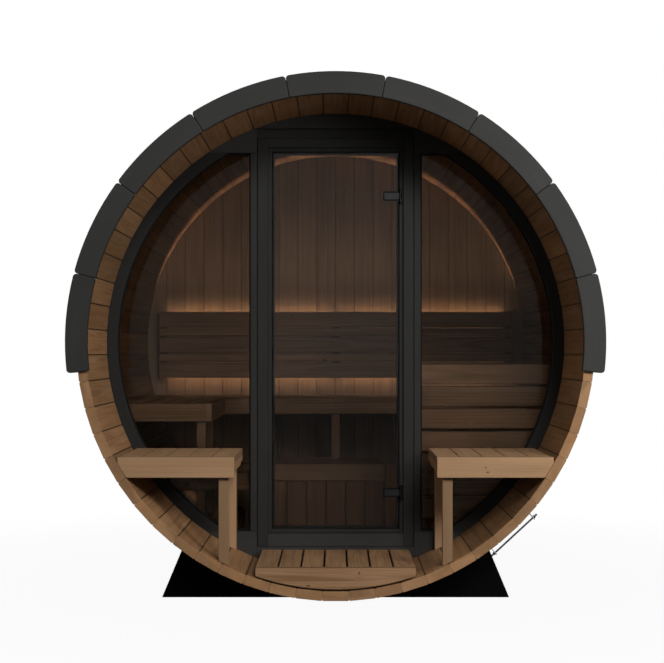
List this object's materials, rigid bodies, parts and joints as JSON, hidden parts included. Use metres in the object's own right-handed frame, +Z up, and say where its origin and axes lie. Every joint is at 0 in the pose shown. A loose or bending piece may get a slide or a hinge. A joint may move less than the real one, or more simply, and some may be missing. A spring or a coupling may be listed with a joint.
{
  "type": "barrel sauna",
  "caption": "Barrel sauna of wooden staves on cradles, with an open porch with benches, a glazed front wall with a hinged glass door, and a cabin with tiered benches.",
  "frame": {"origin": "on the ground, under the middle of the barrel, at the centre of the bounding box", "axes": "+Z up, +Y from the open porch to the back wall, +X to the right seen from the porch"},
  "size_m": [2.2858, 2.101, 2.2958],
  "materials": {
    "stave_wood": "planed softwood staves, lightly oiled",
    "deck_wood": "planed softwood boards with a few knots",
    "bench_wood": "planed softwood boards with a few knots",
    "cabin_wood": "planed softwood, untreated",
    "grey_paint": "wood painted dark grey, satin",
    "black_stain": "wood stained black, matt",
    "roof_shingle": "bitumen shingles with mineral grit",
    "stainless": "stainless strap and rod",
    "hinge_metal": "dark satin metal",
    "tinted_glass": "tinted tempered glass",
    "warm_light": "warm white light strip"
  },
  "bodies": {
    "root": {"staves_right": "stave_wood", "staves_top": "stave_wood", "staves_left": "stave_wood", "staves_bottom": "stave_wood", "fascia_front": "grey_paint", "fascia_back": "grey_paint", "roof_cover": "roof_shingle", "steel_bands": "stainless", "tensioner_rods": "stainless", "cradle_front": "black_stain", "cradle_rear": "black_stain", "wall_header": "grey_paint", "wall_sill": "grey_paint", "window_rim_left": "grey_paint", "window_rim_right": "grey_paint", "window_post_left": "grey_paint", "window_post_right": "grey_paint", "window_glass_left": "tinted_glass", "window_glass_right": "tinted_glass", "door_frame": "grey_paint", "door_lining": "grey_paint", "door_stop": "grey_paint", "hinge_frame_plates": "hinge_metal", "back_wall": "cabin_wood", "deck_boards": "deck_wood", "deck_apron": "deck_wood", "cabin_floor": "cabin_wood", "floor_joists": "deck_wood", "porch_seat_left": "bench_wood", "porch_seat_right": "bench_wood", "porch_bench_frame_left": "bench_wood", "porch_bench_frame_right": "bench_wood", "upper_bench_seat": "cabin_wood", "upper_bench_front": "cabin_wood", "upper_bench_rails": "cabin_wood", "bench_posts": "cabin_wood", "lower_bench_seat": "cabin_wood", "lower_bench_front": "cabin_wood", "lower_bench_legs": "cabin_wood", "lower_bench_skirt": "cabin_wood", "backrest": "cabin_wood", "backrest_battens": "cabin_wood", "light_strips": "warm_light", "side_screen": "cabin_wood", "screen_batten": "cabin_wood"},
    "door": {"door_glass": "tinted_glass", "door_hinge_leaves": "hinge_metal"}
  },
  "joints": [
    {"name": "door_swing", "type": "hinge", "parent": "root", "child": "door", "pos_m": [0.3003, -0.4795, 1.153], "axis": [0, 0, 1], "range_deg": [0, 100]}
  ]
}
